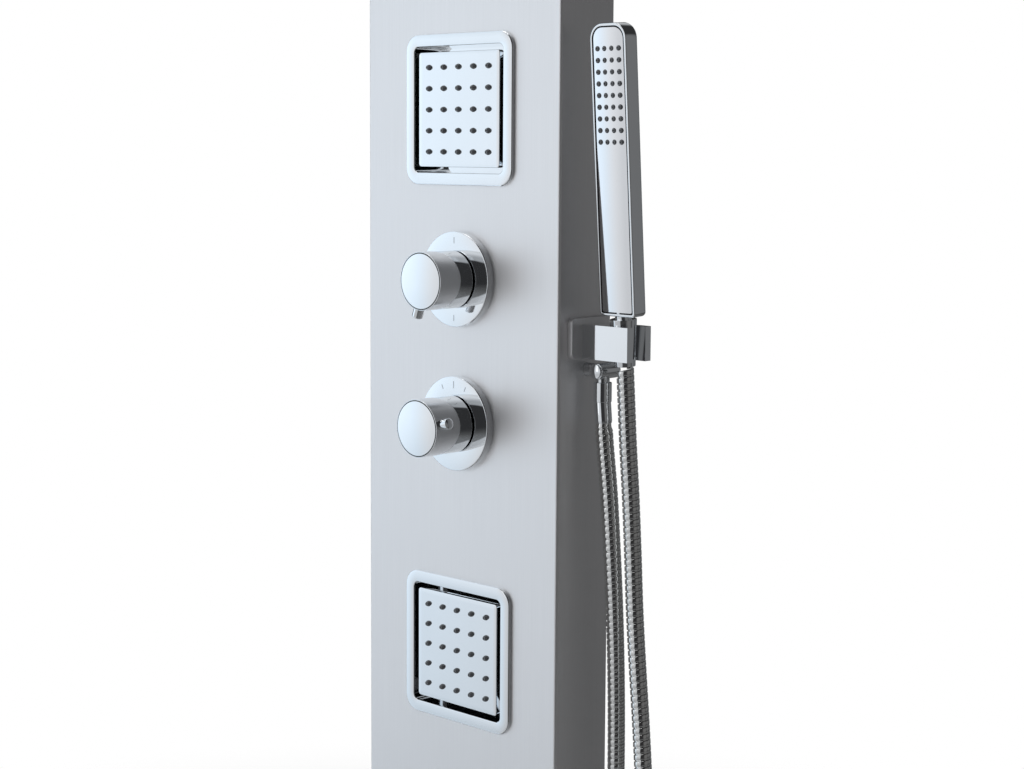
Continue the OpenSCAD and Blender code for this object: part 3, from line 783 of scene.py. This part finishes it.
# Edge radius in millimetres of the pieces whose edges are broken
BROKEN_EDGES = {
    "holder_plate": 0.3, "holder_block": 0.6, "outlet_body": 0.4, "hose_nut": 0.5, "hose_cone_nut": 0.4,
    "arm_flange": 0.9, "arm_collar": 0.8, "rain_head_back": 1.2, "rain_head_face": 0.4,
    "top_cap": 0.5, "bottom_cap": 0.5, "upper_wall_bracket": 0.3, "lower_wall_bracket": 0.3,
    "upper_hanger_rail": 0.3, "lower_hanger_rail": 0.3, "valve_body": 1.2, "holder_screws": 0.3,
    "hot_inlet": 0.5, "cold_inlet": 0.5, "mixer_bonnet_nut": 0.5, "diverter_bonnet_nut": 0.5,
}


FLAT_DEG = 1  # faces that differ by less than this become one
EDGE_DEG = 40  # edges sharper than this are rounded


def break_edges(node, radius):
    """Joins the flat faces and rounds the edges between them, without touching the mesh itself."""
    weld = node.modifiers.new("weld", "WELD")
    weld.merge_threshold = WELD
    flat = node.modifiers.new("flat", "DECIMATE")
    flat.decimate_type = "DISSOLVE"
    flat.angle_limit = math.radians(FLAT_DEG)
    bevel = node.modifiers.new("bevel", "BEVEL")
    bevel.limit_method = "ANGLE"
    bevel.angle_limit = math.radians(EDGE_DEG)
    bevel.width = radius * MM
    bevel.segments = 3
    bevel.miter_outer = "MITER_ARC"
    normals = node.modifiers.new("normals", "WEIGHTED_NORMAL")
    normals.keep_sharp = True


def dress_cad():
    """Gives every CAD node its look, and breaks the edges that catch the light."""
    for row in frame["record"]["subparts"]:
        node = nodes[row["node"]]
        node.data.materials.clear()
        node.data.materials.append(LOOKS[row["material_slot"]])
        if row["node"] in BROKEN_EDGES:
            break_edges(node, BROKEN_EDGES[row["node"]])


dress_cad()

# ---- floor, light and surroundings ----

FLOOR_FADE = (0.55, 1.35)  # the floor fades into the background between these distances from its middle
FLOOR_CLEAR = 0.55  # share of the background that shows through the floor at its middle
FLOOR_Y = -0.1
FLOOR_GAP = 0.002  # distance between the floor and the lowest point of the object


def make_floor():
    """A pale floor that fades into the background."""
    material = bpy.data.materials.new("floor")
    material.use_nodes = True
    graph = Graph(material.node_tree)
    drift = graph.span(graph.noise(graph.place(), 3, 4), 0, 1)
    tone = graph.mix(drift, (0.80, 0.80, 0.80), (0.84, 0.84, 0.84))
    pale = graph.add("BsdfDiffuse", {"Color": tone}).outputs[0]
    clear = graph.add("BsdfTransparent").outputs[0]
    length = graph.add("VectorMath", {0: graph.place()}, operation="LENGTH").outputs["Value"]
    fade = graph.add(
        "MapRange",
        {"Value": length, "From Min": FLOOR_FADE[0], "From Max": FLOOR_FADE[1], "To Min": FLOOR_CLEAR},
        interpolation_type="SMOOTHSTEP",
    ).outputs["Result"]
    both = graph.add("MixShader", {0: fade, 1: pale, 2: clear}).outputs[0]
    graph.add("OutputMaterial", {"Surface": both})
    half = FLOOR_FADE[1]
    corners = [(-half, -half, 0), (half, -half, 0), (half, half, 0), (-half, half, 0)]
    mesh = bpy.data.meshes.new("floor")
    mesh.from_pydata(corners, [], [(0, 1, 2, 3)])
    mesh.materials.append(material)
    floor = bpy.data.objects.new("floor", mesh)
    floor.location = (0, FLOOR_Y, cad_box[0].z - FLOOR_GAP)
    bpy.context.scene.collection.objects.link(floor)


# The window's brightness, as pairs of an angle in degrees and a share of the full tone.
# Across, 0 is -Y and 90 is +X. Up, 0 is level and 90 is +Z.
WINDOW_ACROSS = (
    (-84, 0.0), (-76, 1.0), (-58, 0.96), (-50, 0.87), (-34, 0.575), (11, 0.54), (17, 0.0),
)
WINDOW_UP = (
    (-62, 0.0), (-52, 0.8), (-36, 0.85), (-25, 0.68), (-18, 0.67), (-12, 0.82), (-5, 0.93), (4, 0.98),
    (14, 0.80), (30, 0.60), (52, 0.50), (62, 0.0),
)


def make_world():
    """A white background, and round the object a dark studio with a window to its front left."""
    world = bpy.data.worlds.new("studio")
    world.use_nodes = True
    bpy.context.scene.world = world
    graph = Graph(world.node_tree)
    direction = graph.add("TexCoord").outputs["Generated"]
    parts = graph.add("SeparateXYZ", {0: direction}).outputs

    def smooth(value, start, end):
        """0 at start and 1 at end, with soft ends. start may be the larger of the two."""
        inputs = {"Value": value, "From Min": start, "From Max": end}
        return graph.add("MapRange", inputs, interpolation_type="SMOOTHSTEP").outputs["Result"]

    def compass(centre_deg, half_deg, soft_deg):
        """1 where the level direction lies within half_deg of centre_deg, counted from -Y toward +X."""
        centre = math.radians(centre_deg)
        inputs = {0: direction, 1: (math.sin(centre), -math.cos(centre), 0)}
        near = graph.add("VectorMath", inputs, operation="DOT_PRODUCT").outputs["Value"]
        edge = [math.cos(math.radians(half_deg + k * soft_deg)) for k in (1, -1)]
        return smooth(near, *edge)

    def curve(angle, stops):
        """The brightness at an angle in radians, from stops of (degrees, brightness)."""
        low, high = stops[0][0], stops[-1][0]
        limits = {"Value": angle, "From Min": math.radians(low), "From Max": math.radians(high)}
        node = graph.add("ValToRGB", {"Fac": graph.add("MapRange", limits).outputs["Result"]})
        ramp = node.color_ramp
        while len(ramp.elements) < len(stops):
            ramp.elements.new(0.5)
        for element, (degrees, value) in zip(ramp.elements, stops):
            element.position = (degrees - low) / (high - low)
            element.color = (value, value, value, 1)
        return graph.add("RGBToBW", {"Color": node.outputs["Color"]}).outputs[0]

    toward_room = graph.add("Math", {0: parts["Y"], 1: -1.0}, operation="MULTIPLY").outputs[0]
    azimuth = graph.add("Math", {0: parts["X"], 1: toward_room}, operation="ARCTAN2").outputs[0]
    elevation = graph.add("Math", {0: parts["Z"]}, operation="ARCSINE").outputs[0]
    across, up = curve(azimuth, WINDOW_ACROSS), curve(elevation, WINDOW_UP)
    window = graph.add("Math", {0: across, 1: up}, operation="MULTIPLY").outputs[0]
    shade = graph.mix(compass(135, 18, 8), (0.030, 0.030, 0.031), (0.155, 0.157, 0.160))
    shade = graph.mix(compass(88, 24, 10), shade, (0.15, 0.15, 0.15))
    shade = graph.mix(compass(-178, 24, 10), shade, (0.14, 0.145, 0.15))
    leftward, upward = smooth(parts["X"], -0.05, -0.45), smooth(parts["Z"], 0.2, 0.55)
    above = graph.add("Math", {0: upward, 1: leftward}, operation="MULTIPLY").outputs[0]
    shade = graph.mix(above, shade, (0.50, 0.51, 0.52))
    shade = graph.mix(smooth(parts["Z"], -0.2, -0.6), shade, (0.10, 0.10, 0.10))
    sideways = smooth(azimuth, math.radians(-38), math.radians(-49))
    tint = graph.mix(sideways, (1.22, 1.25, 1.29), (1.08, 1.23, 1.37))
    shade = graph.mix(window, shade, tint)
    around = graph.add("Background", {"Color": shade, "Strength": 1.0}).outputs[0]
    plain = graph.add("Background", {"Color": (1, 1, 1, 1), "Strength": 1.0}).outputs[0]
    seen = graph.add("LightPath").outputs["Is Camera Ray"]
    both = graph.add("MixShader", {0: seen, 1: around, 2: plain}).outputs[0]
    graph.add("OutputWorld", {"Surface": both})


def softbox(name, place, aim, size, watts, colour=(1, 1, 1)):
    """A rectangular light that stands at place and faces aim."""
    data = bpy.data.lights.new(name, "AREA")
    data.shape = "RECTANGLE"
    data.size, data.size_y = size
    data.energy = watts
    data.color = colour
    light = bpy.data.objects.new(name, data)
    light.location = place
    light.rotation_euler = (Vector(aim) - Vector(place)).to_track_quat("-Z", "Y").to_euler()
    bpy.context.scene.collection.objects.link(light)


make_floor()
make_world()
softbox("key", (-0.8, -2.35, 0.5), (0, 0, 0), (0.55, 1.6), 1.5, (0.97, 0.99, 1.0))
softbox("fill", (-0.4, -0.6, 2.2), (0, 0, 0), (1.4, 1.0), 7)
bpy.context.scene.view_settings.view_transform = "Standard"
